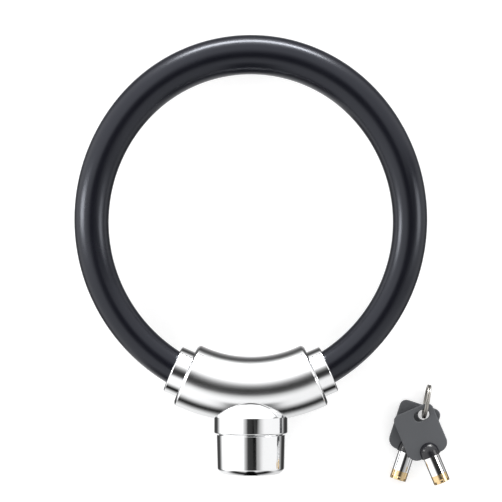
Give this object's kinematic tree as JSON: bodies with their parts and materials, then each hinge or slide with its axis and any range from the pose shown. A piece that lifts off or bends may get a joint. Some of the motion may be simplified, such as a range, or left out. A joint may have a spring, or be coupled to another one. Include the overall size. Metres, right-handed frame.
{
  "type": "cable lock",
  "caption": "Small ring-shaped cable lock: black-jacketed stiff cable ring closed by a curved chromed head with a keyed barrel, plus tubular keys on a split ring.",
  "frame": {"origin": "middle of the cable ring's opening, on the ring's mid-plane", "axes": "+Z square to the ring's plane, up as the lock lies on a table; +Y from the head to the crown of the ring; +X to the free end's side"},
  "size_m": [0.1657, 0.1988, 0.0326],
  "materials": {
    "jacket": "satin black PVC jacket",
    "chrome": "polished chrome plating",
    "steel": "turned and ground steel",
    "steel_rope": "laid steel wire rope",
    "brass": "machined brass",
    "bow_plastic": "dark grey moulded plastic"
  },
  "bodies": {
    "lock_head": {"head": "chrome", "fixed_ferrule": "chrome", "fixed_stud": "steel", "fixed_stud_pin": "steel", "jacket_1": "jacket", "rope_1": "steel_rope", "lock_barrel": "chrome", "barrel_pin": "steel", "pin_housing": "brass", "driver_pins": "steel", "driver_springs": "steel", "spring_cover": "brass"},
    "left_side": {"jacket_2": "jacket", "rope_2": "steel_rope"},
    "crown": {"jacket_3": "jacket", "rope_3": "steel_rope"},
    "right_side": {"jacket_4": "jacket", "rope_4": "steel_rope"},
    "free_end": {"jacket_5": "jacket", "rope_5": "steel_rope", "free_ferrule": "chrome", "free_stud": "steel"},
    "bolt": {"locking_bolt": "brass"},
    "key_rotor": {"rotor": "brass", "crank": "steel", "crank_pin": "steel"},
    "key_pin_set": {"key_pins": "steel"},
    "split_ring": {"key_ring": "steel"},
    "upper_key": {"upper_key_tube": "chrome", "upper_key_bow": "bow_plastic"},
    "lower_key": {"lower_key_tube": "chrome", "lower_key_bow": "bow_plastic"}
  },
  "joints": [
    {"name": "cable_bend_1", "type": "hinge", "parent": "lock_head", "child": "left_side", "pos_m": [-0.05511, -0.03041, 0], "axis": [0, 0, -1], "range_deg": [0, 22], "stiffness_Nm_per_rad": 1},
    {"name": "cable_bend_2", "type": "hinge", "parent": "left_side", "child": "crown", "pos_m": [-0.06738, 0.04174, 0], "axis": [0, 0, -1], "range_deg": [-22, 0]},
    {"name": "cable_bend_3", "type": "hinge", "parent": "crown", "child": "right_side", "pos_m": [0.01404, 0.08113, 0], "axis": [0, 0, -1], "range_deg": [-22, 0]},
    {"name": "cable_bend_4", "type": "hinge", "parent": "right_side", "child": "free_end", "pos_m": [0.05843, 0.02295, 0], "axis": [0, 0, -1], "range_deg": [0, 22]},
    {"name": "key_turn", "type": "hinge", "parent": "lock_head", "child": "key_rotor", "pos_m": [0, -0.11067, 0], "axis": [0, -1, 0], "range_deg": [0, 90]},
    {"name": "bolt_slide", "type": "slide", "parent": "lock_head", "child": "bolt", "axis": [0, 0, 1], "range_m": [0, 0.0019]},
    {"name": "key_pin_press", "type": "slide", "parent": "key_rotor", "child": "key_pin_set", "axis": [0, 1, 0], "range_m": [0, 0.0012], "stiffness_N_per_m": 100},
    {"name": "keys_lift", "type": "slide", "parent": "lock_head", "child": "split_ring", "axis": [0, 0, 1], "range_m": [0, 0.05]},
    {"name": "upper_key_swing", "type": "hinge", "parent": "split_ring", "child": "upper_key", "pos_m": [0.07685, -0.0855, -0.00605], "axis": [0, 0, 1], "range_deg": [-5, 28]},
    {"name": "lower_key_swing", "type": "hinge", "parent": "split_ring", "child": "lower_key", "pos_m": [0.07685, -0.0855, -0.0119], "axis": [0, 0, 1], "range_deg": [-30, 3]}
  ],
  "couplings": [
    {"joint": "cable_bend_2", "follows": "cable_bend_1", "ratio": -1},
    {"joint": "cable_bend_3", "follows": "cable_bend_1", "ratio": -1},
    {"joint": "cable_bend_4", "follows": "cable_bend_1", "ratio": 1},
    {"joint": "key_turn", "follows": "bolt_slide", "rad_per_m": 826.73}
  ]
}
